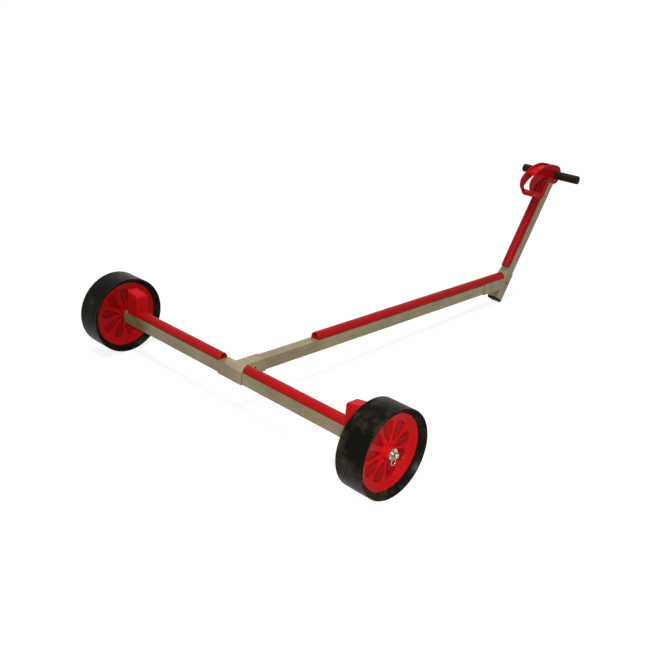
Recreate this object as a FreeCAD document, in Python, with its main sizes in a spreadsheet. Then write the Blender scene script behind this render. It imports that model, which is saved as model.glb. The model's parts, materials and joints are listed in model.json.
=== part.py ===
"""Dinghy trolley: a demountable T-frame launching trolley on two wide plastic wheels.

Row frame: +X towards the handle, +Y to the left, +Z up, floor at Z = 0, with the
origin under the middle of the whole trolley.  The frame is drawn flat first, about
the crossing of the axle beam and the drawbar, and then pitched nose down until the
foot plug meets the floor.  Units are millimetres and degrees.
"""
import FreeCAD, Part
import math
import os
import Sketcher
from FreeCAD import Placement, Rotation, Vector

SIZES = {
    # wheels
    "wheel_radius": 136, "tyre_width": 100, "tyre_shoulder": 4, "tyre_depth": 20,
    "rim_width": 60, "rim_lip": 8, "rim_band": 18, "dish_depth": 6,
    "hub_radius": 20, "hub_width": 76, "hub_base": 27, "bush_radius": 12,
    "flute_count": 9, "flute_start": 36, "flute_margin": 8,
    "flute_narrow": 8, "flute_wide": 30, "flute_floor": 13,
    "wheel_offset": 629,
    # spindle, its plug, washers and clip
    "spindle_radius": 8, "running_gap": 0.05, "side_gap": 0.4,
    "spindle_grip": 120, "spindle_tail": 12, "spindle_round": 1,
    "plug_depth": 30, "plug_flange": 2.5,
    "washer_radius": 17, "washer_thickness": 2.5,
    "clip_wire": 1.3, "clip_ring": 9, "clip_reach": 15,
    # square tubes and the sleeves that join them
    "tube": 40, "tube_wall": 2, "sleeve_gap": 0.5, "sleeve_wall": 2,
    "tee_length": 115, "tee_reach": 113, "elbow_above": 46, "elbow_below": 74,
    "elbow_reach": 153, "seat_gap": 0.3,
    "drawbar_run": 1453.6, "upright_angle": 59.24, "upright_above": 23,
    "button_radius": 4, "button_proud": 0.6, "tee_button": 67,
    # foot plug
    "foot_height": 10, "foot_round": 4, "foot_spigot": 15,
    # pads
    "pad_width": 38, "pad_lip": 3, "pad_bore_radius": 7.5, "pad_bore_rise": 7.8,
    "drawbar_pad_start": 353, "upright_pad_start": 61, "upright_pad_drop": 45,
    # side stops
    "stop_setback": 25.6, "stop_length": 60, "stop_thickness": 42,
    "stop_low": 78, "stop_high": 88, "stop_round": 11, "stop_wall": 4,
    # bow snubber; its drops are measured down the upright from the handlebar
    "cheek_gap": 0.5, "cheek_wall": 4.5, "head_radius": 38, "head_rise": 21,
    "back_radius": 189, "back_forward": 24,
    "chin_radius": 36, "chin_drop": 129, "chin_turn": 20,
    "tip_radius": 10.5, "cheek_rise": 21, "pin_radius": 2.5, "pin_drop": 130, "pin_back": 92,
    "rim_step": 8, "roof_thickness": 5, "roof_drop": 64, "roof_taper": 16,
    "roof_bar": 8, "bar_step": 2, "drain_radius": 3, "drain_drop": 38, "drain_side": 10,
    "window_margin": 42, "window_strip": 18, "window_drop": 119, "window_rise": 17,
    "window_round": 12, "shoulder_drop": 42, "crown_drop": 23, "crown_radius": 22,
    # handlebar
    "handle_height": 497, "bar_radius": 12.5, "bar_wall": 2, "bar_half": 128,
    "grip_radius": 17, "grip_gap": 1, "grip_end": 132, "grip_round": 3,
}

doc = FreeCAD.newDocument("dinghy_trolley")
sheet = doc.addObject("Spreadsheet::Sheet", "Size")
for row, (alias, number) in enumerate(SIZES.items(), start=1):
    sheet.set(f"A{row}", alias)
    sheet.set(f"B{row}", str(number))
    sheet.setAlias(f"B{row}", alias)
doc.recompute()

# Sizes that follow from the driving ones, as expressions
BORE = "(Size.tube + 2 * Size.sleeve_gap)"
SLEEVE = "(Size.tube + 2 * Size.sleeve_gap + 2 * Size.sleeve_wall)"
TUBE_BORE = "(Size.tube - 2 * Size.tube_wall)"
HUB_FACE = "(Size.hub_width / 2)"
WASHER_SEAT = "(Size.washer_thickness + Size.side_gap)"
BEAM_END = f"(Size.wheel_offset - {HUB_FACE} - {WASHER_SEAT} - Size.plug_flange)"
STOP_OUTER = f"({BEAM_END} - Size.stop_setback)"
STOP_INNER = f"({STOP_OUTER} - Size.stop_length)"
RIM_RADIUS = "(Size.wheel_radius - Size.tyre_depth)"
DISH_RADIUS = f"({RIM_RADIUS} - Size.rim_band)"
DRAWBAR_START = f"({SLEEVE} / 2)"
DRAWBAR_END = (f"(Size.drawbar_run - {SLEEVE} / 2 / sin(Size.upright_angle * 1 deg)"
               f" - Size.tube / 2 / tan(Size.upright_angle * 1 deg) - Size.seat_gap)")
UPRIGHT_TOP = "(Size.handle_height + Size.upright_above)"
PAD_RADIUS = "(Size.pad_width / 2)"
PAD_SHIM = "(Size.sleeve_gap + Size.sleeve_wall)"
SNUBBER_GAP = "(Size.tube + 2 * Size.cheek_gap)"
SNUBBER_WIDTH = f"({SNUBBER_GAP} + 2 * Size.cheek_wall)"
CHEEK_FRONT = "(Size.tube / 2 + Size.cheek_gap)"
GRIP_START = f"({SNUBBER_WIDTH} / 2 + Size.grip_gap)"
# the back's arc is tangent to the head's circle
BACK_HEIGHT = ("(Size.handle_height - sqrt((Size.back_radius - Size.head_radius) ^ 2"
               " - Size.back_forward ^ 2))")
CHIN_UP = "(Size.handle_height - Size.chin_drop + Size.chin_radius)"
PIN_HEIGHT = "(Size.handle_height - Size.pin_drop)"
ROOF_END = "(Size.handle_height - Size.roof_drop)"
ROOF_START = "(Size.handle_height + Size.head_rise)"
CLIP_SEAT = f"(Size.wheel_offset + {HUB_FACE} + {WASHER_SEAT} + Size.clip_wire + Size.side_gap)"

PAST = 1        # how far a cut runs past the faces that it goes through
NEAR = 0.01     # how close an edge lies to a level to count as on it

nodes = []


def value(expression):
    """The number an expression on the size sheet gives."""
    return float(sheet.evalExpression(expression.replace("Size.", "")))


# ------------------------------------------------------------------ modelling helpers

def new_body(name):
    body = doc.addObject("PartDesign::Body", name)
    body.Label = name
    nodes.append(body)
    return body


def new_sketch(body, plane, offset="0"):
    """A sketch on one of the body's own origin planes, moved along the plane's normal."""
    sketch = body.newObject("Sketcher::SketchObject", f"{body.Name}_sketch")
    support = next(f for f in body.Origin.OriginFeatures if f.Role == f"{plane}_Plane")
    sketch.AttachmentSupport = [(support, "")]
    sketch.MapMode = "FlatFace"
    sketch.setExpression(".AttachmentOffset.Base.z", offset)
    return sketch


def bind(sketch, constraint, expression):
    index = sketch.addConstraint(constraint)
    sketch.setExpression(f"Constraints[{index}]", expression)


def outline(sketch, points, arcs=None):
    """A closed outline through points given as pairs of expressions.

    arcs maps the number of a side to its radius expression; the side after point i
    is side i.  A minus sign in front of the radius makes the side bend inwards.
    """
    arcs = arcs or {}
    places = [Vector(value(across), value(up), 0) for across, up in points]
    sides = []
    for number, start in enumerate(places):
        end = places[(number + 1) % len(places)]
        if number in arcs:
            inward = arcs[number].startswith("-")
            radius = value(arcs[number].lstrip("-"))
            sides.append((arc_between(start, end, radius, inward), inward))
        else:
            sides.append((Part.LineSegment(start, end), False))
    first = sketch.addGeometry([side for side, _ in sides], False)[0]
    for number, (across, up) in enumerate(points):
        start_end = 2 if sides[number][1] else 1
        last = (number - 1) % len(points)
        last_end = 1 if sides[last][1] else 2
        geometry = first + number
        sketch.addConstraint(Sketcher.Constraint("Coincident", first + last, last_end,
                                                 geometry, start_end))
        bind(sketch, Sketcher.Constraint("DistanceX", -1, 1, geometry, start_end,
                                         value(across)), across)
        bind(sketch, Sketcher.Constraint("DistanceY", -1, 1, geometry, start_end,
                                         value(up)), up)
        if number in arcs:
            radius = arcs[number].lstrip("-")
            bind(sketch, Sketcher.Constraint("Radius", geometry, value(radius)), radius)
    return sketch


def arc_between(start, end, radius, inward):
    """The short arc from start to end, bulging to the right, or to the left if inward."""
    chord = end - start
    left = Vector(-chord.y, chord.x, 0).normalize()
    rise = math.sqrt(radius ** 2 - (chord.Length / 2) ** 2)
    centre = (start + end) * 0.5 + left * (-rise if inward else rise)
    first, last = (end, start) if inward else (start, end)
    angles = [math.atan2(point.y - centre.y, point.x - centre.x) for point in (first, last)]
    return Part.ArcOfCircle(Part.Circle(centre, Vector(0, 0, 1), radius), *angles)


def rectangle(sketch, left, right, low, high):
    return outline(sketch, [(left, low), (right, low), (right, high), (left, high)])


def square(sketch, side):
    half = f"({side}) / 2"
    return rectangle(sketch, f"-{half}", half, f"-{half}", half)


def circle(sketch, radius, across="0", up="0"):
    centre = Vector(value(across), value(up), 0)
    geometry = sketch.addGeometry(Part.Circle(centre, Vector(0, 0, 1), value(radius)), False)
    bind(sketch, Sketcher.Constraint("DistanceX", -1, 1, geometry, 3, centre.x), across)
    bind(sketch, Sketcher.Constraint("DistanceY", -1, 1, geometry, 3, centre.y), up)
    bind(sketch, Sketcher.Constraint("Radius", geometry, value(radius)), radius)
    return sketch


def pad(body, sketch, length, symmetric=False, reverse=False):
    feature = body.newObject("PartDesign::Pad", f"{body.Name}_extrusion")
    feature.Profile = sketch
    feature.setExpression("Length", length)
    feature.SideType = "Symmetric" if symmetric else "One side"
    feature.Reversed = reverse
    return finish(body, feature, grows=True)


def pocket(body, sketch, length, symmetric=False, reverse=False):
    feature = body.newObject("PartDesign::Pocket", f"{body.Name}_cut")
    feature.Profile = sketch
    feature.setExpression("Length", length)
    feature.SideType = "Symmetric" if symmetric else "One side"
    feature.Reversed = reverse
    return finish(body, feature, grows=False)


def finish(body, feature, grows):
    """Make the feature the body's tip and check that it added or removed material."""
    before = body.Shape.Volume if body.Tip and not body.Shape.isNull() else 0
    body.Tip = feature
    doc.recompute()
    change = body.Shape.Volume - before
    if (change > 0) != grows or abs(change) < NEAR:
        raise RuntimeError(f"{feature.Name} changed the volume by {change:.3f}")
    return feature


def revolve(body, sketch):
    """Turn a sketch on the XZ plane all the way round the body's Z axis."""
    feature = body.newObject("PartDesign::Revolution", f"{body.Name}_turned")
    feature.Profile = sketch
    feature.ReferenceAxis = (sketch, ["V_Axis"])
    feature.Angle = 360
    return finish(body, feature, grows=True)


def fillet(body, radius, chosen):
    """Round the edges of the body that chosen(edge) picks."""
    edges = [f"Edge{number}" for number, edge in enumerate(body.Shape.Edges, start=1)
             if chosen(edge)]
    base = body.Tip
    feature = body.newObject("PartDesign::Fillet", f"{body.Name}_fillet")
    feature.Base = (base, edges)
    feature.setExpression("Radius", radius)
    body.Tip = feature
    doc.recompute()
    if not edges or not feature.isValid():
        raise RuntimeError(f"{feature.Name} could not round {edges}: {feature.State}")


def runs_along(edge, axis):
    direction = edge.Vertexes[-1].Point - edge.Vertexes[0].Point
    return direction.Length > 0 and abs(direction.normalize() * axis) > 0.999


# ------------------------------------------------------------------ frames of reference

def turned_about_y(degrees, origin=Vector()):
    return Placement(origin, Rotation(Vector(0, 1, 0), degrees))


def pitch_degrees():
    """The nose-down pitch at which the wheels and the rounded foot corner share a floor."""
    lean = math.radians(value("Size.upright_angle"))
    low = -value("Size.elbow_below + Size.foot_height - Size.foot_round")
    front = value(f"{SLEEVE} / 2 - Size.foot_round")
    forward = value("Size.drawbar_run") + low * math.cos(lean) + front * math.sin(lean)
    upward = low * math.sin(lean) - front * math.cos(lean)
    drop = value("Size.wheel_radius - Size.foot_round")
    reach = math.hypot(forward, upward)
    return math.degrees(math.atan2(upward, forward) + math.asin(drop / reach))


def row_frame():
    """Places the flat frame: pitched, with its wheels on the floor and its box centred."""
    pitch = turned_about_y(pitch_degrees())
    lean = math.radians(value("Size.upright_angle"))
    height = value("Size.handle_height")
    handle = Vector(value("Size.drawbar_run") + height * math.cos(lean), 0,
                    height * math.sin(lean))
    front = pitch.multVec(handle).x + value("Size.head_radius")
    radius = value("Size.wheel_radius")
    return Placement(Vector((radius - front) / 2, 0, radius), pitch.Rotation)


ROW = row_frame()
UPRIGHT = ROW * turned_about_y(90 - value("Size.upright_angle"),
                               Vector(value("Size.drawbar_run"), 0, 0))
SIDES = {"left": Placement(), "right": Placement(Vector(), Rotation(Vector(0, 0, 1), 180))}


def outward(distance):
    """A local Z axis that points outward along the axle, from this far out."""
    return Placement(Vector(0, value(distance), 0), Rotation(Vector(1, 0, 0), -90))


def forward(distance, height="0"):
    """A local Z axis that points along the drawbar, with local X down."""
    return Placement(Vector(value(distance), 0, value(height)), Rotation(Vector(0, 1, 0), 90))


def put(node, placement):
    node.Placement = placement
    return node


# ------------------------------------------------------------------ tubes and sleeves

def square_tube(name, length):
    """A square tube that starts at its own origin and runs up its own Z axis."""
    body = new_body(name)
    sketch = square(new_sketch(body, "XY"), "Size.tube")
    square(sketch, TUBE_BORE)
    pad(body, sketch, length)
    return body


def build_tee_socket():
    """The welded tee: a sleeve across, round the axle beam, and a stub for the drawbar."""
    body = new_body("tee_socket")
    pad(body, square(new_sketch(body, "XZ"), SLEEVE), "Size.tee_length", symmetric=True)
    pad(body, square(new_sketch(body, "YZ"), SLEEVE), "Size.tee_reach")
    pocket(body, square(new_sketch(body, "XZ"), BORE), f"Size.tee_length + {PAST}", symmetric=True)
    pocket(body, square(new_sketch(body, "YZ", "Size.tee_reach"), BORE),
           f"Size.tee_reach - {SLEEVE} / 2")
    button_hole(body, "Size.tee_button")
    put(body, ROW)


def button_hole(body, across="0", up="0"):
    hole = circle(new_sketch(body, "XZ"), "Size.button_radius", across, up)
    pocket(body, hole, f"{SLEEVE} + {PAST}", symmetric=True)


def build_axle_beam():
    body = square_tube("axle_beam", f"2 * {BEAM_END}")
    put(body, ROW * outward(f"-{BEAM_END}"))


def build_drawbar():
    """The drawbar, from the wall of the tee to the slanted back of the elbow sleeve."""
    body = square_tube("drawbar", f"{DRAWBAR_END} - {DRAWBAR_START}")
    hole_height = f"Size.tee_button - {DRAWBAR_START}"
    hole = circle(new_sketch(body, "XZ"), "Size.button_radius", "0", hole_height)
    pocket(body, hole, f"Size.tube + {PAST}", symmetric=True)
    put(body, ROW * forward(DRAWBAR_START))


def build_upright():
    """The upright, from the bottom of the elbow sleeve to inside the snubber's head."""
    body = square_tube("upright", f"{UPRIGHT_TOP} + Size.elbow_below")
    for height, radius in (("0", "Size.button_radius"),
                           ("Size.handle_height", "Size.bar_radius")):
        hole = circle(new_sketch(body, "XZ"), radius, "0", f"{height} + Size.elbow_below")
        pocket(body, hole, f"Size.tube + {PAST}", symmetric=True)
    put(body, UPRIGHT * Placement(Vector(0, 0, -value("Size.elbow_below")), Rotation()))


def build_elbow_socket():
    """The welded elbow: a sleeve round the upright and a slanted socket for the drawbar."""
    body = new_body("elbow_socket")
    half = f"{SLEEVE} / 2"
    lean = "(90 - Size.upright_angle) * 1 deg"
    side = new_sketch(body, "XZ")
    back = "Size.elbow_reach"
    corners = []
    for along, across in ((f"-{back}", f"-{half}"), ("0", f"-{half}"),
                          ("0", half), (f"-{back}", half)):
        corners.append((f"({along}) * cos({lean}) - ({across}) * sin({lean})",
                        f"({along}) * sin({lean}) + ({across}) * cos({lean})"))
    pad(body, outline(side, corners), SLEEVE, symmetric=True)
    sleeve = rectangle(new_sketch(body, "XZ"), f"-{half}", half,
                       "-Size.elbow_below", "Size.elbow_above")
    pad(body, sleeve, SLEEVE, symmetric=True)
    bore = f"{BORE} / 2"
    pocket(body, rectangle(new_sketch(body, "XZ"), f"-{bore}", bore,
                           f"-Size.elbow_below - {PAST}", f"Size.elbow_above + {PAST}"),
           BORE, symmetric=True)
    near = f"({DRAWBAR_END} - Size.drawbar_run)"
    corners = []
    for along, across in ((f"-{back} - {PAST}", f"-{bore}"), (near, f"-{bore}"),
                          (near, bore), (f"-{back} - {PAST}", bore)):
        corners.append((f"({along}) * cos({lean}) - ({across}) * sin({lean})",
                        f"({along}) * sin({lean}) + ({across}) * cos({lean})"))
    pocket(body, outline(new_sketch(body, "XZ"), corners), BORE, symmetric=True)
    button_hole(body)
    put(body, UPRIGHT)


def build_button(name, placement):
    """A cross button that locks a sleeve to its tube, domed proud of both side faces."""
    body = new_body(name)
    half = f"({SLEEVE} / 2 + Size.button_proud)"
    pad(body, circle(new_sketch(body, "XY", f"-{half}"), "Size.button_radius"), f"2 * {half}")
    fillet(body, "Size.button_proud / 2", lambda edge: edge.Closed)
    put(body, placement)


def build_foot_plug():
    """The rubber foot: a rounded cap under the upright with a spigot up inside it."""
    body = new_body("foot_plug")
    pad(body, square(new_sketch(body, "XY"), SLEEVE), "Size.foot_height", reverse=True)
    low = -value("Size.foot_height")
    fillet(body, "Size.foot_round", lambda edge: edge.BoundBox.ZMax < low + NEAR
           or runs_along(edge, Vector(0, 0, 1)))
    pad(body, square(new_sketch(body, "XY"), f"{TUBE_BORE} - 2 * Size.running_gap"),
        "Size.foot_spigot")
    put(body, UPRIGHT * Placement(Vector(0, 0, -value("Size.elbow_below")), Rotation()))


# ------------------------------------------------------------------ pads

def pad_outline(sketch, half_width, floor, lip):
    """A D: a flat floor, short straight sides and a half round back made of two arcs."""
    return outline(sketch, [(f"-{half_width}", floor), (half_width, floor), (half_width, lip),
                            ("0", f"{lip} + {half_width}"), (f"-{half_width}", lip)],
                   {2: half_width, 3: half_width})


def extruded_pad(name, length, lip, notch=None):
    """A D-section strip with a round bore, along its own Z axis, its back along its own Y.

    notch is the length at the far end where the floor is cut away over a sleeve.
    """
    body = new_body(name)
    sketch = pad_outline(new_sketch(body, "XY"), PAD_RADIUS, "0", lip)
    circle(sketch, "Size.pad_bore_radius", "0", f"{lip} + Size.pad_bore_rise")
    pad(body, sketch, length)
    if notch:
        step = rectangle(new_sketch(body, "YZ"), f"-{PAST}", PAD_SHIM,
                         f"({length}) - ({notch})", f"({length}) + {PAST}")
        pocket(body, step, f"Size.pad_width + {PAST}", symmetric=True)
    return body


def build_beam_pads():
    start = "(Size.tee_length / 2 + Size.seat_gap)"
    length = f"{STOP_INNER} - Size.seat_gap - {start}"
    for side, turn in SIDES.items():
        body = extruded_pad(f"beam_pad_{side}", length, "Size.pad_lip")
        flat = Placement(Vector(0, value(start), value("Size.tube / 2")),
                         Rotation(Vector(-1, 0, 0), Vector(0, 0, 1), Vector(0, 1, 0), "ZXY"))
        put(body, ROW * turn * flat)


def build_drawbar_pad():
    """Lies on the drawbar and, over its notched end, on the elbow's socket."""
    end = (f"(Size.drawbar_run - {SLEEVE} / 2 / sin(Size.upright_angle * 1 deg)"
           f" + Size.tube / 2 / tan(Size.upright_angle * 1 deg) - Size.seat_gap)")
    length = f"{end} - Size.drawbar_pad_start"
    notch = f"{end} - Size.drawbar_run + Size.elbow_reach + Size.seat_gap"
    body = extruded_pad("drawbar_pad", length, f"(Size.pad_lip + {PAD_SHIM})", notch)
    place = Placement(Vector(value("Size.drawbar_pad_start"), 0, value("Size.tube / 2")),
                      Rotation(Vector(0, 1, 0), Vector(0, 0, 1), Vector(1, 0, 0), "ZXY"))
    put(body, ROW * place)


def build_upright_pad():
    length = "Size.handle_height - Size.upright_pad_drop - Size.upright_pad_start"
    body = extruded_pad("upright_pad", length, "Size.pad_lip")
    place = Placement(Vector(-value("Size.tube / 2"), 0, value("Size.upright_pad_start")),
                      Rotation(Vector(0, 1, 0), Vector(-1, 0, 0), Vector(0, 0, 1), "ZXY"))
    put(body, UPRIGHT * place)


# ------------------------------------------------------------------ side stops

def build_side_stops():
    """A moulded block on each end of the beam, hollow underneath, with a sloping top."""
    floor = "Size.tube / 2"
    for side, turn in SIDES.items():
        body = new_body(f"side_stop_{side}")
        block = outline(new_sketch(body, "YZ"), [
            (STOP_INNER, floor), (STOP_OUTER, floor),
            (STOP_OUTER, f"{floor} + Size.stop_high"),
            (STOP_INNER, f"{floor} + Size.stop_low")])
        pad(body, block, "Size.stop_thickness", symmetric=True)
        inner = value(STOP_INNER)
        fillet(body, "Size.stop_round", lambda edge: runs_along(edge, Vector(1, 0, 0))
               and edge.BoundBox.YMax < inner + NEAR
               and edge.BoundBox.ZMin > value(floor) + NEAR)
        fillet(body, "Size.stop_wall", lambda edge: runs_along(edge, Vector(0, 0, 1)))
        wall = "2 * Size.stop_wall"
        hollow = rectangle(new_sketch(body, "YZ"), f"{STOP_INNER} + {wall}",
                           f"{STOP_OUTER} - {wall}", f"{floor} - {PAST}",
                           f"{floor} + Size.stop_low - {wall}")
        pocket(body, hollow, f"Size.stop_thickness - 2 * {wall}", symmetric=True)
        put(body, ROW * turn)


# ------------------------------------------------------------------ axle ends

def build_axle_ends():
    for side, turn in SIDES.items():
        build_end_plug(side, turn)
        build_spindle(side, turn)
        build_washer(f"inner_washer_{side}", f"{BEAM_END} + Size.plug_flange", turn)
        build_washer(f"outer_washer_{side}",
                     f"Size.wheel_offset + {HUB_FACE} + Size.side_gap", turn)
        build_clip(side, turn)


def build_end_plug(side, turn):
    """Closes the beam's end and holds the spindle."""
    body = new_body(f"end_plug_{side}")
    inside = f"({TUBE_BORE} - 2 * Size.running_gap)"
    pad(body, square(new_sketch(body, "XY"), inside), "Size.plug_depth", reverse=True)
    pad(body, square(new_sketch(body, "XY"), "Size.tube"), "Size.plug_flange")
    bore = circle(new_sketch(body, "XY", f"Size.plug_flange + {PAST}"), "Size.spindle_radius")
    pocket(body, bore, f"Size.plug_depth + Size.plug_flange + 2 * {PAST}")
    put(body, ROW * turn * outward(BEAM_END))


def build_spindle(side, turn):
    body = new_body(f"spindle_{side}")
    length = f"({CLIP_SEAT} + Size.spindle_tail - {BEAM_END} + Size.spindle_grip)"
    pad(body, circle(new_sketch(body, "XY"), "Size.spindle_radius"), length)
    top = value(length)
    fillet(body, "Size.spindle_round",
           lambda edge: edge.Closed and edge.BoundBox.ZMin > top - NEAR)
    hole = circle(new_sketch(body, "XZ"), "Size.clip_wire", "0",
                  f"{length} - Size.spindle_tail")
    pocket(body, hole, f"2 * Size.spindle_radius + {PAST}", symmetric=True)
    put(body, ROW * turn * outward(f"{BEAM_END} - Size.spindle_grip"))


def build_washer(name, distance, turn):
    body = new_body(name)
    sketch = circle(new_sketch(body, "XY"), "Size.washer_radius")
    circle(sketch, "Size.spindle_radius")
    pad(body, sketch, "Size.washer_thickness")
    put(body, ROW * turn * outward(distance))


def build_clip(side, turn):
    """A ring clip: a straight leg through the spindle and a wire ring hanging from it."""
    leg = doc.addObject("Part::Cylinder", f"clip_leg_{side}")
    leg.setExpression("Radius", "Size.clip_wire")
    leg.setExpression("Height", "2 * Size.clip_reach")
    leg.Placement = Placement(Vector(0, 0, -value("Size.clip_reach")), Rotation())
    ring = doc.addObject("Part::Torus", f"clip_ring_{side}")
    ring.setExpression("Radius1", "Size.clip_ring")
    ring.setExpression("Radius2", "Size.clip_wire")
    drop = -value("Size.clip_reach + Size.clip_ring")
    ring.Placement = Placement(Vector(0, 0, drop), Rotation(Vector(1, 0, 0), 90))
    clip = doc.addObject("Part::MultiFuse", f"clip_{side}")
    clip.Shapes = [leg, ring]
    clip.Label = f"clip_{side}"
    nodes.append(clip)
    doc.recompute()
    put(clip, ROW * turn * Placement(Vector(0, value(CLIP_SEAT), 0), Rotation()))


# ------------------------------------------------------------------ wheels

def build_wheels():
    for side, turn in SIDES.items():
        place = ROW * turn * outward("Size.wheel_offset")
        put(build_rim(side), place)
        put(build_bush(side), place)
        put(build_tyre(side), place)


def build_rim(side):
    """The moulded wheel centre: a rim band, a dished disc with flutes, and a tapered hub."""
    body = new_body(f"rim_{side}")
    lip = "(Size.rim_width / 2 - Size.rim_lip)"
    dish = f"({lip} - Size.dish_depth)"
    points = [("Size.bush_radius", f"-{HUB_FACE}"), ("Size.hub_radius", f"-{HUB_FACE}"),
              ("Size.hub_base", f"-{dish}"), (DISH_RADIUS, f"-{lip}"),
              (RIM_RADIUS, "-Size.rim_width / 2")]
    mirrored = [(across, up[1:]) for across, up in reversed(points)]
    revolve(body, outline(new_sketch(body, "XZ"), points + mirrored))
    for face in (1, -1):
        cut_flutes(body, face, lip)
    return body


def cut_flutes(body, face, lip):
    """A tapering sunk panel with a flat floor in the dish, repeated round the wheel."""
    sketch = new_sketch(body, "XY", f"{face} * {lip}")
    inner, outer = "Size.flute_start", f"({DISH_RADIUS} - Size.flute_margin)"
    narrow, wide = "Size.flute_narrow / 2", "Size.flute_wide / 2"
    outline(sketch, [(inner, f"-{narrow}"), (outer, f"-{wide}"), (outer, wide), (inner, narrow)],
            {1: "Size.flute_wide"})
    pocket(body, sketch, f"{lip} - Size.flute_floor", reverse=face < 0)
    flute = body.Tip
    pattern = body.newObject("PartDesign::PolarPattern", f"{body.Name}_flutes")
    pattern.Originals = [flute]
    axis = next(f for f in body.Origin.OriginFeatures if f.Role == "Z_Axis")
    pattern.Axis = (axis, [""])
    pattern.Angle = 360
    pattern.setExpression("Occurrences", "Size.flute_count")
    finish(body, pattern, grows=False)


def build_bush(side):
    body = new_body(f"bush_{side}")
    sketch = circle(new_sketch(body, "XY", f"-{HUB_FACE}"), "Size.bush_radius")
    circle(sketch, "Size.spindle_radius + Size.running_gap")
    pad(body, sketch, "Size.hub_width")
    return body


def build_tyre(side):
    """A wide solid tyre: flat tread, rounded shoulders and sides that slope in to the rim."""
    body = new_body(f"tyre_{side}")
    tread = "(Size.wheel_radius - Size.tyre_shoulder)"
    half = "(Size.tyre_width / 2)"
    flat = f"({half} - Size.tyre_shoulder)"
    edge = "(Size.rim_width / 2)"
    revolve(body, outline(new_sketch(body, "XZ"), [
        (RIM_RADIUS, f"-{edge}"), (tread, f"-{half}"),
        ("Size.wheel_radius", f"-{flat}"), ("Size.wheel_radius", flat),
        (tread, half), (RIM_RADIUS, edge)],
        {1: "Size.tyre_shoulder", 3: "Size.tyre_shoulder"}))
    return body


# ------------------------------------------------------------------ bow snubber

def back_point(radius, height):
    """The point of a circle about the back's centre at this height, on its rear side."""
    return (f"Size.back_forward - sqrt(({radius}) ^ 2 - ({height} - {BACK_HEIGHT}) ^ 2)", height)


def build_bow_snubber():
    """A hooked moulding over the upright's top: two cheeks, a sunk roof, two cross bars."""
    body = new_body("bow_snubber")
    pad(body, cheek_outline(new_sketch(body, "XZ")), SNUBBER_WIDTH, symmetric=True)
    carve_between_cheeks(body)
    carve_windows(body)
    # round bars between the cheeks: one ends the roof, the other carries the pin
    deep = "(Size.back_radius - Size.bar_step - Size.roof_bar)"
    across, up = back_point(deep, f"({ROOF_END} + Size.roof_bar)")
    between = f"{SNUBBER_GAP} + Size.cheek_wall"
    pad(body, circle(new_sketch(body, "XZ"), "Size.roof_bar", across, up), between,
        symmetric=True)
    pad(body, circle(new_sketch(body, "XZ"), "Size.tip_radius", "-Size.pin_back", PIN_HEIGHT),
        between, symmetric=True)
    half = "(Size.tube / 2 + Size.seat_gap)"
    socket = rectangle(new_sketch(body, "XZ"), f"-{half}", half,
                       "Size.handle_height - 2 * Size.head_radius",
                       f"{UPRIGHT_TOP} + Size.seat_gap")
    pocket(body, socket, f"2 * {half}", symmetric=True)
    through = f"{SNUBBER_WIDTH} + {PAST}"
    pocket(body, circle(new_sketch(body, "XZ"), "Size.bar_radius", "0", "Size.handle_height"),
           through, symmetric=True)
    pocket(body, circle(new_sketch(body, "XZ"), "Size.pin_radius", "-Size.pin_back", PIN_HEIGHT),
           through, symmetric=True)
    # a drain hole low in the roof, cut from just behind the head
    drain = circle(new_sketch(body, "YZ", f"-Size.head_radius - {PAST}"), "Size.drain_radius",
                   "-Size.drain_side", "Size.handle_height - Size.drain_drop")
    pocket(body, drain, "Size.back_radius")
    put(body, UPRIGHT)


def cheek_outline(sketch):
    """The side of the snubber: head, back, chin, blunt tip and a lower edge that rises."""
    head, centre, back = "Size.head_radius", "Size.handle_height", "Size.back_radius"
    # arcs that touch do so on the line through their centres
    lean_out = f"({back} / ({back} - {head}))"
    leave = (f"Size.back_forward * (1 - {lean_out})",
             f"{BACK_HEIGHT} + ({centre} - {BACK_HEIGHT}) * {lean_out}")
    chin = back_point(f"({back} - Size.chin_radius)", CHIN_UP)[0]
    lean_chin = f"({back} / ({back} - Size.chin_radius))"
    meet = (f"Size.back_forward + ({chin} - Size.back_forward) * {lean_chin}",
            f"{BACK_HEIGHT} + ({CHIN_UP} - {BACK_HEIGHT}) * {lean_chin}")
    chin_end = (f"{chin} - Size.chin_radius * sin(Size.chin_turn * 1 deg)",
                f"{CHIN_UP} - Size.chin_radius * cos(Size.chin_turn * 1 deg)")
    tip = f"{PIN_HEIGHT} - Size.tip_radius"
    front_low = f"{centre} - sqrt({head} ^ 2 - {CHEEK_FRONT} ^ 2)"
    return outline(sketch, [
        (f"-{CHEEK_FRONT}", f"{tip} + Size.cheek_rise"), (f"-{CHEEK_FRONT}", front_low),
        (head, centre), leave, meet, chin_end, ("-Size.pin_back", tip)],
        {1: head, 2: head, 3: back, 4: "Size.chin_radius"})


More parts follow.
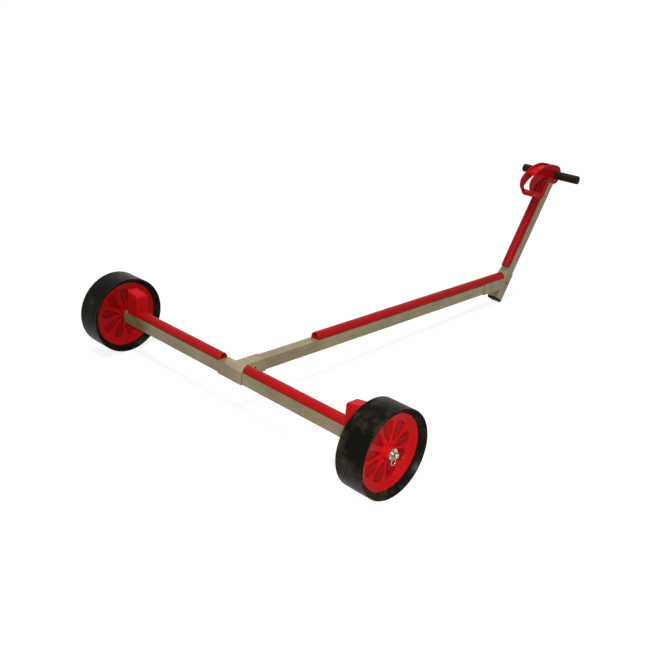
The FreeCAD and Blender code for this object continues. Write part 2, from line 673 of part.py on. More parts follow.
def carve_between_cheeks(body):
    """Sink the roof below the cheeks' rims and clear the space under it."""
    past = "(Size.back_radius + Size.chin_radius)"
    sunk = "(Size.back_radius - Size.rim_step)"
    under = f"({sunk} - Size.roof_thickness)"
    roof = outline(new_sketch(body, "XZ"), [
        back_point(past, ROOF_START), back_point(past, ROOF_END),
        back_point(sunk, ROOF_END), back_point(sunk, ROOF_START)],
        {0: past, 2: f"-{sunk}"})
    pocket(body, roof, SNUBBER_GAP, symmetric=True)
    front = f"{PAST} - {CHEEK_FRONT}"
    behind = f"-Size.head_radius - {PAST}"
    floor = f"{PIN_HEIGHT} - Size.tip_radius - {PAST}"
    ceiling = f"Size.handle_height - Size.head_radius - {PAST}"
    under_start = back_point(under, f"({ROOF_START} - Size.roof_taper)")
    inside = outline(new_sketch(body, "XZ"), [
        (front, floor), (front, ceiling), (behind, ceiling), (behind, under_start[1]),
        under_start, back_point(under, ROOF_END), (f"Size.back_forward - {past}", ROOF_END),
        (f"Size.back_forward - {past}", floor)],
        {4: under})
    pocket(body, inside, SNUBBER_GAP, symmetric=True)


def carve_windows(body):
    """A D-shaped opening through both cheeks, a margin inside their back."""
    edge = "(Size.back_radius - Size.window_margin)"
    floor = "(Size.handle_height - Size.window_drop)"
    front = f"-{CHEEK_FRONT} - Size.window_strip"
    low = back_point(edge, f"({floor} + Size.window_round)")
    window = outline(new_sketch(body, "XZ"), [
        (front, f"{floor} + Size.window_rise"),
        (front, "Size.handle_height - Size.shoulder_drop"),
        back_point(edge, "(Size.handle_height - Size.crown_drop)"),
        low, (f"{low[0]} + Size.window_round", floor)],
        {1: "Size.crown_radius", 2: edge, 3: "Size.window_round"})
    pocket(body, window, f"{SNUBBER_WIDTH} + {PAST}", symmetric=True)


def build_snubber_pin():
    """A plain cross pin through both cheeks and the lower bar."""
    body = new_body("snubber_pin")
    half = f"({SNUBBER_WIDTH} / 2 + Size.button_proud)"
    sketch = circle(new_sketch(body, "XZ", f"-{half}"), "Size.pin_radius",
                    "-Size.pin_back", PIN_HEIGHT)
    pad(body, sketch, f"2 * {half}")
    put(body, UPRIGHT)


# ------------------------------------------------------------------ handlebar

def build_handlebar():
    body = new_body("handlebar")
    sketch = circle(new_sketch(body, "XZ", "-Size.bar_half"), "Size.bar_radius",
                    "0", "Size.handle_height")
    circle(sketch, "Size.bar_radius - Size.bar_wall", "0", "Size.handle_height")
    pad(body, sketch, "2 * Size.bar_half")
    put(body, UPRIGHT)


def build_grips():
    """A closed-ended grip pushed on each end of the handlebar."""
    for side, turn in SIDES.items():
        body = new_body(f"grip_{side}")
        grip = outline(new_sketch(body, "XZ"), [
            ("0", "Size.bar_half"), ("Size.bar_radius", "Size.bar_half"),
            ("Size.bar_radius", GRIP_START), ("Size.grip_radius", GRIP_START),
            ("Size.grip_radius", "Size.grip_end - Size.grip_round"),
            ("Size.grip_radius - Size.grip_round", "Size.grip_end"), ("0", "Size.grip_end")],
            {4: "Size.grip_round"})
        revolve(body, grip)
        place = Placement(Vector(0, 0, value("Size.handle_height")), Rotation())
        put(body, UPRIGHT * place * turn * outward("0"))


# ------------------------------------------------------------------ build, check, write

def build():
    build_tee_socket()
    build_axle_beam()
    build_drawbar()
    build_elbow_socket()
    build_upright()
    build_foot_plug()
    build_button("tee_button",
                 ROW * Placement(Vector(value("Size.tee_button"), 0, 0),
                                 Rotation(Vector(1, 0, 0), -90)))
    build_button("elbow_button", UPRIGHT * Placement(Vector(), Rotation(Vector(1, 0, 0), -90)))
    build_beam_pads()
    build_drawbar_pad()
    build_upright_pad()
    build_side_stops()
    build_axle_ends()
    build_wheels()
    build_bow_snubber()
    build_snubber_pin()
    build_handlebar()
    build_grips()
    doc.recompute()


def check():
    for item in doc.Objects:
        if {"Invalid", "Error"} & set(item.State):
            raise RuntimeError(f"{item.Name} is {item.State}")
    for node in nodes:
        shape = node.Shape
        if shape.isNull() or not shape.isValid() or len(shape.Solids) != 1:
            raise RuntimeError(f"{node.Label}: {len(shape.Solids)} solids, {shape.isValid()}")


def write():
    os.makedirs("parts", exist_ok=True)
    for node in nodes:
        node.Shape.exportStep(os.path.join("parts", f"{node.Label}.step"))
    print(f"{len(nodes)} nodes, pitch {pitch_degrees():.2f} degrees")


build()
check()
write()
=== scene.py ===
import bmesh
import bpy
import json
import math
import random
from mathutils import Matrix, Vector


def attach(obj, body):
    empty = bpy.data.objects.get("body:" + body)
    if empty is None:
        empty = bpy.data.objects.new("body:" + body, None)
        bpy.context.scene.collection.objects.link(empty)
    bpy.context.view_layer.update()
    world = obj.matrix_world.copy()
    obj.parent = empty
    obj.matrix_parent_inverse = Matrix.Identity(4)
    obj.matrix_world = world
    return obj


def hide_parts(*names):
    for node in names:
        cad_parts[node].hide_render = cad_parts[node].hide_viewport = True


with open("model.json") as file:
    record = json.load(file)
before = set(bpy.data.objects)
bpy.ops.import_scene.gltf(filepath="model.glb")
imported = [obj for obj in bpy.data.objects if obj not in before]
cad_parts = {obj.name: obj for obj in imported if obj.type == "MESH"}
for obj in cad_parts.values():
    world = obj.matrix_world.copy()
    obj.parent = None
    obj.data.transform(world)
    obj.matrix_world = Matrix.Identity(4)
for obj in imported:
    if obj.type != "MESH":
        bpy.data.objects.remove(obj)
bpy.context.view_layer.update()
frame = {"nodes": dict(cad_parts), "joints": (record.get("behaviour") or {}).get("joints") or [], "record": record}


# ---------------------------------------------------------------- sizes and frames, in metres

LEAN = math.radians(59.24)          # the upright's angle from the drawbar
CROSSING = 1.4536                   # from the axle to the upright's axis, along the drawbar
TUBE = 0.040
SLEEVE = 0.045
SEAT = 0.0003                       # how far apart two pieces lie that rest on each other
WHEEL_OFFSET = 0.629                # from the trolley's middle to each wheel's middle plane
FLUTE_SHADE_BELOW = 0.0175                 # height over that plane below which the plastic gets a darker red painted in as shade

joints = {joint["name"]: Vector(joint["pos_m"]) for joint in frame["joints"]}
left_axle, right_axle = joints["wheel_left_spin"], joints["wheel_right_spin"]
axle_centre = (left_axle + right_axle) / 2
mounts = {mount["name"]: mount for mount in frame["record"]["mounts"]}
pitch = math.atan2(mounts["hull_rest"]["axis"][0], mounts["hull_rest"]["axis"][2])

# The frame drawn flat: the axle beam along Y and the drawbar along X, through the origin
FLAT = Matrix.Translation(axle_centre) @ Matrix.Rotation(pitch, 4, "Y")
# The upright's own frame: Z up along it and X forwards, from its crossing with the drawbar
UPRIGHT = (FLAT @ Matrix.Translation((CROSSING, 0, 0))
           @ Matrix.Rotation(math.pi / 2 - LEAN, 4, "Y"))


# ---------------------------------------------------------------- materials

def linear(red, green, blue):
    """A colour written as 0 to 255 steps of sRGB, as linear light."""
    def one(step):
        share = step / 255
        return share / 12.92 if share <= 0.04045 else ((share + 0.055) / 1.055) ** 2.4
    return (one(red), one(green), one(blue), 1)


class Finish:
    """A material under way: its nodes, its links and its shader."""

    def __init__(self, name, **sockets):
        self.material = bpy.data.materials.new(name)
        self.material.use_nodes = True
        self.tree = self.material.node_tree
        self.shader = self.tree.nodes["Principled BSDF"]
        for socket, number in sockets.items():
            self.shader.inputs[socket.replace("_", " ")].default_value = number
        self.place = self.tree.nodes.new("ShaderNodeTexCoord").outputs["Object"]

    def node(self, kind, **settings):
        """A new node; each setting goes to the input of that name or else to the node."""
        node = self.tree.nodes.new(kind)
        for key, number in settings.items():
            if key in node.inputs:
                node.inputs[key].default_value = number
            else:
                setattr(node, key, number)
        return node

    def link(self, output, target):
        self.tree.links.new(output, target)

    def noise(self, scale, detail=4, roughness=0.5, stretch=(1, 1, 1)):
        """Cloudy noise; a stretch below 1 draws it out along that axis."""
        mapping = self.node("ShaderNodeMapping", Scale=stretch)
        self.link(self.place, mapping.inputs["Vector"])
        texture = self.node("ShaderNodeTexNoise", Scale=scale, Detail=detail,
                            Roughness=roughness)
        self.link(mapping.outputs["Vector"], texture.inputs["Vector"])
        return texture.outputs["Fac"]

    def ramp(self, source, stops):
        """A colour ramp; stops is a list of (place, colour or grey level)."""
        node = self.node("ShaderNodeValToRGB")
        while len(node.color_ramp.elements) < len(stops):
            node.color_ramp.elements.new(0.5)
        for element, (place, colour) in zip(node.color_ramp.elements, stops):
            element.position = place
            level = colour if isinstance(colour, tuple) else (colour, colour, colour, 1)
            element.color = level
        self.link(source, node.inputs["Fac"])
        return node.outputs["Color"]

    def mix(self, first, second, share):
        """Each of the two colours and the share is a plain value or a node's output."""
        node = self.node("ShaderNodeMix", data_type="RGBA")
        for number, source in ((6, first), (7, second), (0, share)):
            if isinstance(source, (tuple, float)):
                node.inputs[number].default_value = source
            else:
                self.link(source, node.inputs[number])
        return node.outputs[2]

    def bump(self, source, strength, distance, below=None):
        """Relief from a height, on top of the relief below it."""
        node = self.node("ShaderNodeBump", Strength=strength, Distance=distance)
        self.link(source, node.inputs["Height"])
        if below:
            self.link(below, node.inputs["Normal"])
        return node.outputs["Normal"]

    def calculate(self, operation, first, second=None):
        """One step of arithmetic on an output, with a plain number where it takes two."""
        node = self.node("ShaderNodeMath", operation=operation)
        self.link(first, node.inputs[0])
        if second is not None:
            node.inputs[1].default_value = second
        return node.outputs[0]

    def set(self, socket, output):
        self.link(output, self.shader.inputs[socket])


def make_aluminium(name, grain):
    """Extruded tube: a dull satin skin with draw lines along it and a few handling scuffs."""
    light, dark = linear(146, 131, 96), linear(104, 89, 58)
    finish = Finish(name, Metallic=0.14, Specular_IOR_Level=0.45)
    lines = finish.noise(55, 6, 0.6, grain)
    cloud = finish.noise(7, 4, 0.6)
    scuffs = finish.ramp(finish.noise(34, 9, 0.75), [(0.60, 0.0), (0.70, 1.0)])
    tone = finish.mix(finish.ramp(cloud, [(0.35, dark), (0.66, light)]),
                      finish.ramp(lines, [(0.32, dark), (0.68, light)]), 0.5)
    finish.set("Base Color", finish.mix(tone, light, finish.ramp(scuffs, [(0, 0.0), (1, 0.45)])))
    rough = finish.mix(finish.ramp(lines, [(0.3, 0.26), (0.7, 0.36)]),
                       finish.ramp(scuffs, [(0.0, 0.30), (1.0, 0.55)]), 0.4)
    finish.set("Roughness", rough)
    finish.set("Normal", finish.bump(lines, 0.10, 0.0004))
    return finish.material


def make_red_moulding(name):
    """Moulded plastic: a fine spark-eroded skin, a little uneven in gloss.

    The sunk floors of a wheel's flutes and the hub's foot get a darker red painted in as shade.
    """
    finish = Finish(name, Specular_IOR_Level=0.03)
    cloud = finish.noise(12, 3, 0.5)
    rub = finish.ramp(finish.noise(48, 9, 0.75), [(0.62, 0.0), (0.74, 1.0)])
    tone = finish.ramp(cloud, [(0.3, linear(162, 11, 13)), (0.7, linear(178, 17, 20))])
    worn = finish.ramp(cloud, [(0.3, linear(166, 28, 30)), (0.7, linear(176, 36, 36))])
    clean = finish.mix(tone, worn, finish.ramp(rub, [(0, 0.0), (1, 0.35)]))
    parts = finish.node("ShaderNodeSeparateXYZ")
    finish.link(finish.place, parts.inputs[0])
    far_out = finish.calculate("ABSOLUTE", parts.outputs["Y"])
    above_middle = finish.calculate("ABSOLUTE",
                                    finish.calculate("SUBTRACT", far_out, WHEEL_OFFSET))
    # painted shade: a darker red on a wheel's sunk flute floors and hub foot, near its middle plane
    painted_flute_shade = finish.calculate("LESS_THAN", above_middle, FLUTE_SHADE_BELOW)
    finish.set("Base Color", finish.mix(clean, finish.ramp(cloud, [(0.3, linear(134, 8, 10)),
                                                                   (0.7, linear(148, 11, 13))]),
                                        painted_flute_shade))
    grain = finish.noise(1400, 2, 0.5)
    finish.set("Roughness", finish.mix(finish.ramp(finish.noise(60, 5, 0.6),
                                                   [(0.3, 0.17), (0.7, 0.25)]),
                                       finish.ramp(rub, [(0, 0.22), (1, 0.45)]), 0.4))
    finish.set("Normal", finish.bump(grain, 0.05, 0.0002))
    return finish.material


def make_red_pad(name, grain):
    """Soft extruded vinyl: satin, with faint die lines along it and pressed spots."""
    finish = Finish(name, Specular_IOR_Level=0.09)
    die = finish.noise(70, 4, 0.5, grain)
    cloud = finish.noise(11, 4, 0.6)
    tone = finish.mix(finish.ramp(cloud, [(0.3, linear(132, 9, 10)), (0.7, linear(150, 13, 14))]),
                      finish.ramp(die, [(0.3, linear(126, 9, 9)), (0.7, linear(150, 14, 14))]),
                      0.4)
    finish.set("Base Color", tone)
    finish.set("Roughness", finish.ramp(cloud, [(0.3, 0.30), (0.7, 0.42)]))
    finish.set("Normal", finish.bump(die, 0.12, 0.0004,
                                     finish.bump(finish.noise(900, 2), 0.06, 0.0002)))
    return finish.material


def make_rubber(name, dark, light, rough):
    """Black rubber or plastic: cloudy, dusty in places, with a fine matt skin."""
    finish = Finish(name, Specular_IOR_Level=0.035)
    cloud = finish.noise(9, 6, 0.7)
    dust = finish.ramp(finish.noise(90, 9, 0.8), [(0.48, 0.0), (0.60, 1.0)])
    share = finish.ramp(cloud, [(0.48, 0.0), (0.62, 1.0)])
    speckled = finish.mix(finish.ramp(dust, [(0, dark), (1, light)]),
                          finish.ramp(cloud, [(0.3, dark), (0.75, light)]), 0.5)
    finish.set("Base Color", finish.mix(dark, speckled, share))
    finish.set("Roughness", finish.ramp(cloud, [(0.3, rough), (0.75, rough + 0.15)]))
    finish.set("Normal", finish.bump(finish.noise(420, 6, 0.6), 0.08, 0.0004))
    return finish.material


def make_steel(name):
    """Zinc plate: bright, finely brushed and slightly clouded."""
    finish = Finish(name, Metallic=0.9)
    lines = finish.noise(260, 5, 0.6)
    finish.set("Base Color", finish.ramp(lines, [(0.3, linear(128, 126, 112)),
                                                 (0.7, linear(196, 192, 174))]))
    finish.set("Roughness", finish.ramp(finish.noise(90, 5), [(0.3, 0.22), (0.7, 0.38)]))
    finish.set("Normal", finish.bump(lines, 0.10, 0.0002))
    return finish.material


# the grain of a tube or pad runs along it
GRAINS = {"x": (0.04, 1, 1), "y": (1, 0.04, 1), "up": (0.6, 1, 0.05)}
aluminium = {axis: make_aluminium(f"aluminium_{axis}", grain) for axis, grain in GRAINS.items()}
red_pad = {axis: make_red_pad(f"red_pad_{axis}", grain) for axis, grain in GRAINS.items()}
red_moulding = make_red_moulding("red_moulding")
tyre_rubber = make_rubber("tyre_rubber", linear(8, 8, 5), linear(62, 52, 38), 0.27)
black_rubber = make_rubber("black_rubber", linear(30, 26, 20), linear(52, 45, 35), 0.45)
black_plastic = make_rubber("black_plastic", linear(16, 16, 15), linear(30, 29, 27), 0.35)
steel = make_steel("plated_steel")


def paint(piece, material):
    piece.data.materials.clear()
    piece.data.materials.append(material)


# ---------------------------------------------------------------- mesh helpers

def piece_from(name, bm, material, body, slot, *nodes):
    """Turn a bmesh into a smooth-shaded piece that rides on a body and replaces CAD nodes."""
    bmesh.ops.recalc_face_normals(bm, faces=bm.faces)
    mesh = bpy.data.meshes.new(name)
    bm.to_mesh(mesh)
    bm.free()
    piece = bpy.data.objects.new(name, mesh)
    bpy.context.scene.collection.objects.link(piece)
    mesh.materials.append(material)
    for face in mesh.polygons:
        face.use_smooth = True
    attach(piece, body)
    if nodes:
        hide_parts(*nodes)
    return piece


def bevel(piece, width, segments, degrees):
    """Round the piece's sharp edges for good."""
    rounding = piece.modifiers.new("edges", "BEVEL")
    rounding.width = width
    rounding.segments = segments
    rounding.limit_method = "ANGLE"
    rounding.angle_limit = math.radians(degrees)
    normals = piece.modifiers.new("normals", "WEIGHTED_NORMAL")
    normals.keep_sharp = True
    bpy.context.view_layer.update()
    graph = bpy.context.evaluated_depsgraph_get()
    mesh = bpy.data.meshes.new_from_object(piece.evaluated_get(graph))
    piece.modifiers.clear()
    piece.data = mesh


def rounded(node, material, slot, width):
    """Stands for a CAD node with the same shape and its sharp edges rounded."""
    bm = bmesh.new()
    bm.from_mesh(frame["nodes"][node].data)
    bmesh.ops.remove_doubles(bm, verts=bm.verts, dist=2e-6)
    bmesh.ops.dissolve_limit(bm, angle_limit=math.radians(0.6), verts=bm.verts, edges=bm.edges)
    piece = piece_from(f"{node}_finish", bm, material, "frame", slot, node)
    bevel(piece, width, 3, 32)


def sweep(rings, closed=False, capped=False):
    """A mesh through rings of points, each ring closed on itself."""
    bm = bmesh.new()
    loops = [[bm.verts.new(point) for point in ring] for ring in rings]
    pairs = list(zip(loops, loops[1:]))
    if closed:
        pairs.append((loops[-1], loops[0]))
    for near, far in pairs:
        for number in range(len(near)):
            after = (number + 1) % len(near)
            bm.faces.new((near[number], near[after], far[after], far[number]))
    if capped:
        bm.faces.new(loops[0])
        bm.faces.new(loops[-1])
    return bm


def smooth(low, high, number):
    """0 below low and 1 above high, with an easy curve between."""
    share = min(1.0, max(0.0, (number - low) / (high - low)))
    return share * share * (3 - 2 * share)


def blend(low, high, share):
    return low + (high - low) * share


# ---------------------------------------------------------------- pieces kept from the frame

TUBE_ROUND, SLEEVE_ROUND, MOULDED_ROUND = 0.0020, 0.0009, 0.0015
for node, axis, width in (("axle_beam", "y", TUBE_ROUND), ("drawbar", "x", TUBE_ROUND),
                          ("upright", "up", TUBE_ROUND), ("tee_socket", "y", SLEEVE_ROUND),
                          ("elbow_socket", "up", SLEEVE_ROUND)):
    rounded(node, aluminium[axis], "aluminium", width)
paint(frame["nodes"]["handlebar"], aluminium["y"])
for side in ("left", "right"):
    rounded(f"side_stop_{side}", red_moulding, "red_moulding", MOULDED_ROUND)
    rounded(f"end_plug_{side}", black_plastic, "black_plastic", SLEEVE_ROUND)
    paint(frame["nodes"][f"grip_{side}"], black_rubber)
    paint(frame["nodes"][f"bush_{side}"], black_plastic)
    for part in ("spindle", "inner_washer", "outer_washer", "clip"):
        paint(frame["nodes"][f"{part}_{side}"], steel)
rounded("bow_snubber", red_moulding, "red_moulding", MOULDED_ROUND)
rounded("foot_plug", black_rubber, "black_rubber", SLEEVE_ROUND)
paint(frame["nodes"]["snubber_pin"], steel)
for button in ("tee_button", "elbow_button"):
    paint(frame["nodes"][button], black_plastic)


# ---------------------------------------------------------------- welds

def build_bead(name, start, end, axis, radius=0.0016, ripple=0.0017, sides=10):
    """A fillet weld between two points of the row frame, laid in overlapping ripples."""
    start, end = Vector(start), Vector(end)
    along = (end - start).normalized()
    across = along.orthogonal().normalized()
    up = along.cross(across)
    count = int((end - start).length / ripple) * 4
    rings = []
    for step in range(count + 1):
        share = step / count
        # each ripple swells and then drops back, and the bead tapers at its ends
        swell = 0.86 + 0.14 * ((step % 4) / 3)
        taper = math.sqrt(max(0.04, 1 - abs(2 * share - 1) ** 12))
        place = start.lerp(end, share)
        rings.append([place + (across * math.cos(turn) + up * math.sin(turn)) * radius
                      * swell * taper
                      for turn in (2 * math.pi * side / sides for side in range(sides))])
    piece_from(name, sweep(rings, capped=True), aluminium[axis], "frame", "aluminium")


half_sleeve, bead_reach = SLEEVE / 2, SLEEVE / 2 - 0.001
for side, sign in (("left", 1), ("right", -1)):
    build_bead(f"tee_weld_{side}", FLAT @ Vector((half_sleeve, sign * half_sleeve, -bead_reach)),
               FLAT @ Vector((half_sleeve, sign * half_sleeve, bead_reach)), "y")
for place, sign in (("top", 1), ("bottom", -1)):
    height = (sign * half_sleeve - half_sleeve * math.cos(LEAN)) / math.sin(LEAN)
    build_bead(f"elbow_weld_{place}", UPRIGHT @ Vector((-half_sleeve, -bead_reach, height)),
               UPRIGHT @ Vector((-half_sleeve, bead_reach, height)), "up")


# ---------------------------------------------------------------- pads

PAD_HALF, PAD_LIP = 0.019, 0.003
BORE_RADIUS, BORE_RISE = 0.0075, 0.0078
END_ROUND, BORE_ROUND = 0.0026, 0.0010
SHIM = (SLEEVE - TUBE) / 2          # how far a sleeve stands proud of its tube


def pad_ring(half, floor, shoulder, steps=22):
    """Points round a D: across and up, from the left end of its floor."""
    ring = [(half * share, floor) for share in (-1, -0.6, -0.2, 0.2, 0.6, 1)]
    for step in range(steps + 1):
        turn = math.pi * step / steps
        ring.append((half * math.cos(turn), shoulder + half * math.sin(turn)))
    return ring


def build_pad(name, axis, place, length, lip, notch=0.0):
    """A thick-walled vinyl strip with a round bore, soft ends and a little hand-fitted wave.

    place takes local X across, Y up from the tube and Z along to the row frame; notch is
    the length at the far end that lies on a sleeve.
    """
    random.seed(name)
    phase = random.uniform(0, 6)
    centre = lip + BORE_RISE

    def inset(along, radius):
        """How far a rounded end has drawn the section in."""
        reach = min(along, length - along)
        return radius - math.sqrt(radius ** 2 - max(0.0, radius - reach) ** 2)

    def ring(along, bore):
        wave = 1 - 0.004 * (1 + math.sin(along * 23 + phase))
        drift = 0.0003 * math.sin(along * 9 + phase)
        low = lip - PAD_LIP if notch and along > length - notch else 0.0
        drawn = inset(along, END_ROUND)
        outer = pad_ring((PAD_HALF - drawn) * wave, low + drawn * 0.3, lip)
        if not bore:
            return [place @ Vector((across + drift, up, along)) for across, up in outer]
        radius = BORE_RADIUS + inset(along, BORE_ROUND)
        turns = [math.atan2(up - centre, across) for across, up in outer]
        return [place @ Vector((radius * math.cos(turn) + drift, centre + radius * math.sin(turn),
                                along)) for turn in turns]

    count = max(24, int(length / 0.012))
    ends = [0, 0.0002, 0.0005, 0.001, 0.0016, END_ROUND]
    stations = ends + [length - end for end in ends]
    stations += [length * step / count for step in range(1, count)]
    if notch:
        stations += [length - notch - 0.0002, length - notch + 0.0002]
    stations.sort()
    rings = [ring(along, False) for along in stations]
    rings += [ring(along, True) for along in reversed(stations)]
    piece = piece_from(f"{name}_skin", sweep(rings, closed=True), red_pad[axis], "frame",
                       "red_pad", name)
    bevel(piece, 0.0009, 2, 50)


def across_up_along(base, origin, up, along):
    """A local frame with Y up from the tube and Z along it."""
    up, along = Vector(up), Vector(along)
    across = up.cross(along)
    turn = Matrix((across, up, along)).transposed().to_4x4()
    return base @ Matrix.Translation(origin) @ turn


TEE_HALF, STOP_INNER = 0.0575, 0.500
for side, sign in (("left", 1), ("right", -1)):
    start = TEE_HALF + SEAT
    build_pad(f"beam_pad_{side}", "y",
              across_up_along(FLAT, (0, sign * start, TUBE / 2), (0, 0, 1), (0, sign, 0)),
              STOP_INNER - SEAT - start, PAD_LIP)
DRAWBAR_PAD_START, ELBOW_REACH = 0.353, 0.153
drawbar_pad_end = CROSSING - half_sleeve / math.sin(LEAN) + TUBE / 2 / math.tan(LEAN) - SEAT
build_pad("drawbar_pad", "x",
          across_up_along(FLAT, (DRAWBAR_PAD_START, 0, TUBE / 2), (0, 0, 1), (1, 0, 0)),
          drawbar_pad_end - DRAWBAR_PAD_START, PAD_LIP + SHIM,
          drawbar_pad_end - CROSSING + ELBOW_REACH + SEAT)
UPRIGHT_PAD_START, UPRIGHT_PAD_END = 0.061, 0.452
build_pad("upright_pad", "up",
          across_up_along(UPRIGHT, (-TUBE / 2, 0, UPRIGHT_PAD_START), (-1, 0, 0), (0, 0, 1)),
          UPRIGHT_PAD_END - UPRIGHT_PAD_START, PAD_LIP)


# ---------------------------------------------------------------- wheels

BUSH_RADIUS, HUB_RADIUS, HUB_BASE, HUB_HALF = 0.012, 0.020, 0.027, 0.038
RIM_RADIUS, RIM_HALF = 0.116, 0.030
FLUTES = 9
FLUTE_TURN = math.radians(9)            # where the first flute lies, from +X
FLUTE_START, FLUTE_END = 0.027, 0.092
FLUTE_FLOOR, HUB_FOOT = 0.0125, 0.0150  # heights above the wheel's middle plane
FLUTE_NARROW, FLUTE_WIDE = 0.0022, 0.0120
FLUTE_WALL, FLUTE_NOSE = 0.0024, 0.005
RIDGE_LOW, RIDGE_RISE = 0.0195, 0.0035
PANEL_TILT = 0.0040                     # how far a panel's edges lie below its crest
BAND_START = 0.096
BOWL = 0.92                             # how much of a quarter turn's rise the band takes


def ridge_height(radius):
    """The crest between two flutes, shallowly dished, and the bowl-shaped band outside."""
    middle = (FLUTE_START + BAND_START) / 2
    crest = RIDGE_LOW + RIDGE_RISE * ((min(radius, BAND_START) - middle)
                                      / (BAND_START - middle)) ** 2
    share = max(0.0, (radius - BAND_START) / (RIM_RADIUS - BAND_START))
    bowl = (1 - math.sqrt(1 - BOWL * share * share)) / (1 - math.sqrt(1 - BOWL))
    return crest + (RIM_HALF - RIDGE_LOW - RIDGE_RISE) * blend(share, bowl, 0.70)


def hub_height(radius):
    """The hub's flank, which slopes down from its top to the foot."""
    return blend(HUB_HALF, HUB_FOOT, (radius - HUB_RADIUS) / (HUB_BASE - HUB_RADIUS))


def half_flute(radius):
    """Angle and height across half a flute and half a panel, from the flute's middle."""
    crest = ridge_height(radius)
    tilt = PANEL_TILT * smooth(0.024, 0.050, radius) * (1 - smooth(0.086, 0.104, radius))
    shoulder = crest - tilt
    grow = min(1.0, max(0.0, (radius - FLUTE_START) / (FLUTE_END - FLUTE_START)))
    nose = min(1.0, max(0.0, (radius - FLUTE_END + FLUTE_NOSE) / FLUTE_NOSE))
    width = blend(FLUTE_NARROW, FLUTE_WIDE, grow) * math.sqrt(1 - nose * nose)
    depth = (shoulder - FLUTE_FLOOR) * (1 - smooth(FLUTE_END - 0.005, FLUTE_END, radius))
    quarter = math.pi / FLUTES
    floor_edge = width / radius
    top = min(0.92 * quarter, (width + FLUTE_WALL) / radius)
    points = [(floor_edge * share, shoulder - depth) for share in (0, 0.5, 1)]
    for share in (0.12, 0.30, 0.50, 0.70, 0.88, 1.0):
        points.append((blend(floor_edge, top, share), shoulder - depth * (1 - smooth(0, 1, share))))
    for share in (0.06, 0.30, 0.60, 0.90, 0.97):
        points.append((blend(top, quarter, share), blend(shoulder, crest, share)))
    points.append((quarter, crest - tilt * 0.01))
    return points


def face_ring(radius, centre, face):
    """Points round one face of the wheel centre at this radius."""
    half = half_flute(radius)
    period = 2 * math.pi / FLUTES
    ring = []
    for flute in range(FLUTES):
        start = FLUTE_TURN + flute * period
        whole = half + [(period - turn, up) for turn, up in reversed(half[1:-1])]
        for turn, up in whole:
            up = max(up, hub_height(radius))
            ring.append(centre + Vector((radius * math.cos(start + turn), face * up,
                                         radius * math.sin(start + turn))))
    return ring


def build_rim(side, centre):
    """The moulded wheel centre: hub, nine flutes and a bowl-shaped band on both faces."""
    # closest together on the hub's flank and where the flutes end
    radii = [HUB_RADIUS + 0.0004 + 0.0008 * step for step in range(20)]
    radii += [blend(radii[-1], FLUTE_END - 0.007, step / 22) for step in range(1, 23)]
    radii += [blend(radii[-1], BAND_START, step / 18) for step in range(1, 19)]
    radii += [blend(BAND_START, RIM_RADIUS, step / 14) for step in range(1, 15)]
    lip = 0.0012
    top = [(BUSH_RADIUS, HUB_HALF - lip), (BUSH_RADIUS + lip * 0.3, HUB_HALF - lip * 0.3),
           (BUSH_RADIUS + lip, HUB_HALF), (HUB_RADIUS - lip, HUB_HALF),
           (HUB_RADIUS - lip * 0.3, HUB_HALF - lip * 0.3), (HUB_RADIUS + 0.0002, HUB_HALF - lip)]
    rings = []
    for face in (1, -1):
        rows = []
        for radius, height in top:
            ring = face_ring(radius, Vector(), face)
            rows.append([centre + Vector((point.x, face * height, point.z)) for point in ring])
        rows += [face_ring(radius, centre, face) for radius in radii]
        rings += rows if face > 0 else list(reversed(rows))
    piece_from(f"rim_{side}_moulding", sweep(rings, closed=True), red_moulding,
               f"wheel_{side}", "red_moulding", f"rim_{side}")


TREAD_RADIUS, TREAD_HALF, SHOULDER = 0.136, 0.050, 0.004
SEAM_TURN = math.radians(-82)


def build_tyre(side, centre):
    """A solid tyre: a slightly crowned tread, tight shoulders and sides that slope in."""
    corner = (TREAD_RADIUS - SHOULDER, TREAD_HALF - SHOULDER)
    outer = [(corner[0] + SHOULDER * math.sin(turn), corner[1] + SHOULDER * math.cos(turn))
             for turn in (math.pi / 2 * step / 7 for step in range(8))]
    bead = 0.0014
    wall = [(RIM_RADIUS, RIM_HALF - bead), (RIM_RADIUS + bead * 0.25, RIM_HALF + bead * 0.1),
            (RIM_RADIUS + bead, RIM_HALF + bead * 0.5), (RIM_RADIUS + bead * 2, RIM_HALF + bead)]
    foot, head = wall[-1], outer[0]
    wall += [(blend(foot[0], head[0], share), blend(foot[1], head[1], share) - sink)
             for share, sink in ((0.10, 0.0006), (0.16, 0.0009), (0.5, 0.0010), (0.86, 0.0008),
                                 (0.94, 0.0003))]
    crown = 0.0004
    tread = [(TREAD_RADIUS - crown * (share ** 4), corner[1] * share)
             for share in (0.96, 0.8, 0.6, 0.4, 0.2, 0.03)]
    half = wall + outer + tread
    profile = half + [(radius, -out) for radius, out in reversed(half)]
    turns = sorted([2 * math.pi * step / 288 for step in range(288)]
                   + [SEAM_TURN % (2 * math.pi) + edge for edge in (-0.004, 0.0, 0.004)])
    rings = []
    for radius, out in profile:
        ring = []
        for turn in turns:
            on_seam = abs(turn - SEAM_TURN % (2 * math.pi)) < 1e-6
            sink = 0.0004 if on_seam and abs(out) > RIM_HALF + 0.001 else 0.0
            ring.append(centre + Vector((radius * math.cos(turn), out - math.copysign(sink, out),
                                         radius * math.sin(turn))))
        rings.append(ring)
    piece_from(f"tyre_{side}_rubber", sweep(rings, closed=True), tyre_rubber,
               f"wheel_{side}", "tyre_rubber", f"tyre_{side}")


for side, centre in (("left", left_axle), ("right", right_axle)):
    build_rim(side, centre)
    build_tyre(side, centre)


# ---------------------------------------------------------------- floor, light and camera

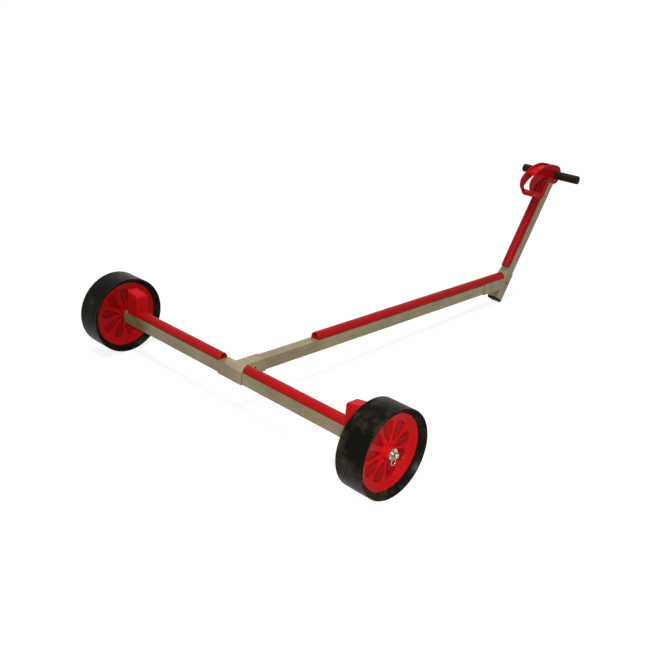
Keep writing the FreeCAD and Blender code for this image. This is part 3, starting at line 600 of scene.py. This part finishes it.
def seen_or_mirrored(tree, amount, base):
    """base for light that falls on things, plus amount where the surface is seen."""
    paths = tree.nodes.new("ShaderNodeLightPath")
    last = paths.outputs["Is Camera Ray"]
    for ray in ("Is Glossy Ray", "Is Transmission Ray"):
        either = tree.nodes.new("ShaderNodeMath")
        either.operation = "MAXIMUM"
        tree.links.new(last, either.inputs[0])
        tree.links.new(paths.outputs[ray], either.inputs[1])
        last = either.outputs[0]
    level = tree.nodes.new("ShaderNodeMath")
    level.operation = "MULTIPLY_ADD"
    tree.links.new(last, level.inputs[0])
    level.inputs[1].default_value = amount
    level.inputs[2].default_value = base
    return level.outputs[0]


FLOOR_TONE, FLOOR_GLOW = 0.22, 0.84
WORLD_LIGHT = 0.16


def build_floor():
    """A white floor that still shows the trolley's soft shadow."""
    bpy.ops.mesh.primitive_plane_add(size=60, location=(0, 0, 0))
    floor = bpy.context.object
    floor.name = "floor"
    material = bpy.data.materials.new("floor")
    material.use_nodes = True
    tree = material.node_tree
    shader = tree.nodes["Principled BSDF"]
    shader.inputs["Base Color"].default_value = (FLOOR_TONE, FLOOR_TONE, FLOOR_TONE, 1)
    shader.inputs["Roughness"].default_value = 0.95
    shader.inputs["Specular IOR Level"].default_value = 0.0
    glow = tree.nodes.new("ShaderNodeEmission")
    tree.links.new(seen_or_mirrored(tree, FLOOR_GLOW, 0.0), glow.inputs["Strength"])
    both = tree.nodes.new("ShaderNodeAddShader")
    tree.links.new(shader.outputs[0], both.inputs[0])
    tree.links.new(glow.outputs[0], both.inputs[1])
    tree.links.new(both.outputs[0], tree.nodes["Material Output"].inputs["Surface"])
    floor.data.materials.append(material)


def build_world():
    """A pale even surround: white where it is seen, dimmer where it lights the trolley."""
    world = bpy.data.worlds.new("studio")
    bpy.context.scene.world = world
    world.use_nodes = True
    tree = world.node_tree
    background = tree.nodes["Background"]
    background.inputs["Color"].default_value = (1, 1, 1, 1)
    tree.links.new(seen_or_mirrored(tree, 1 - WORLD_LIGHT, WORLD_LIGHT),
                   background.inputs["Strength"])


def aim(holder, place, target):
    holder.location = place
    holder.rotation_euler = (Vector(target) - Vector(place)).to_track_quat("-Z", "Y").to_euler()
    bpy.context.scene.collection.objects.link(holder)


def build_lamps():
    """A wide soft light from above and a small flash beside the camera."""
    above = bpy.data.lights.new("above", "SUN")
    above.energy = 2.8
    above.angle = math.radians(22)
    aim(bpy.data.objects.new("above", above), (-0.35, -0.15, 3.0), (0, 0, 0))
    flash = bpy.data.lights.new("flash", "AREA")
    flash.energy = 35
    flash.size = 0.14
    flash.spread = math.radians(110)
    aim(bpy.data.objects.new("flash", flash), (-2.46, -2.16, 1.56), (-0.2, -0.6, 0.25))


CAMERA_PLACE = (-2.5389, -2.0759, 1.4868)
CAMERA_HEADING, CAMERA_DOWN, CAMERA_ROLL = 43.782, 24.158, 2.421
CAMERA_LENS = 51.34


def build_camera():
    camera = bpy.data.cameras.new("camera")
    camera.lens = CAMERA_LENS
    camera.sensor_width = 36
    holder = bpy.data.objects.new("camera", camera)
    heading, down = math.radians(CAMERA_HEADING), math.radians(CAMERA_DOWN)
    ahead = Vector((math.cos(heading) * math.cos(down), math.sin(heading) * math.cos(down),
                    -math.sin(down)))
    turn = ahead.to_track_quat("-Z", "Y").to_matrix().to_4x4()
    holder.matrix_world = (Matrix.Translation(CAMERA_PLACE) @ turn
                           @ Matrix.Rotation(math.radians(CAMERA_ROLL), 4, "Z"))
    bpy.context.scene.collection.objects.link(holder)
    bpy.context.scene.camera = holder


build_floor()
build_world()
build_lamps()
build_camera()
bpy.context.scene.view_settings.view_transform = "Standard"
